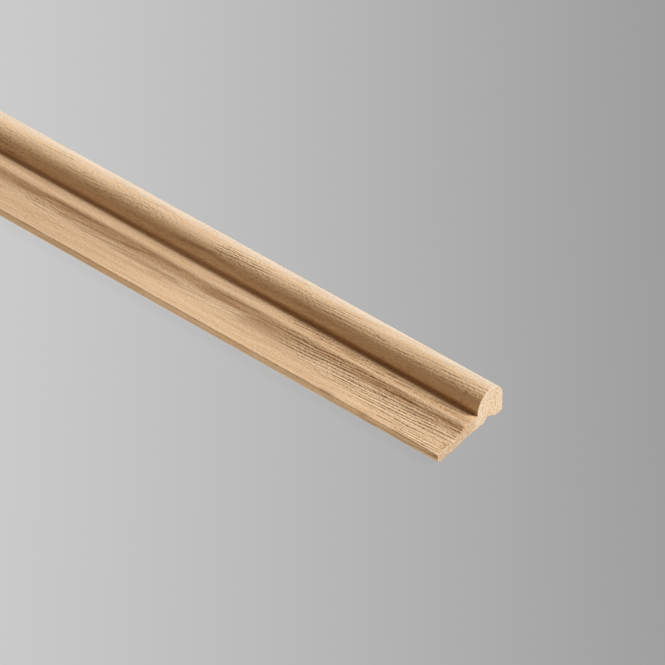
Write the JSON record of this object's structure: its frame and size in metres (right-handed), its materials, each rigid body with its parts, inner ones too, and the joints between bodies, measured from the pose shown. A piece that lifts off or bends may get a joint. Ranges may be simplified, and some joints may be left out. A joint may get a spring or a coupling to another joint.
{
  "type": "ogee moulding",
  "caption": "Straight hardwood trim whose face runs from a thin edge up an ogee to a quirk and a half-round bead, fixed flat by its plain back.",
  "frame": {"origin": "middle of the back, half way along the length and half way across the width", "axes": "+X along the length, +Y across from the thin edge to the bead, +Z out of the back towards the moulded face"},
  "size_m": [0.9, 0.03, 0.012],
  "materials": {
    "bare_hardwood": "planed and moulded by cutters, bare, with open pores along the grain and sawn ends"
  },
  "bodies": {
    "root": {"ogee_moulding": "bare_hardwood"}
  },
  "joints": []
}
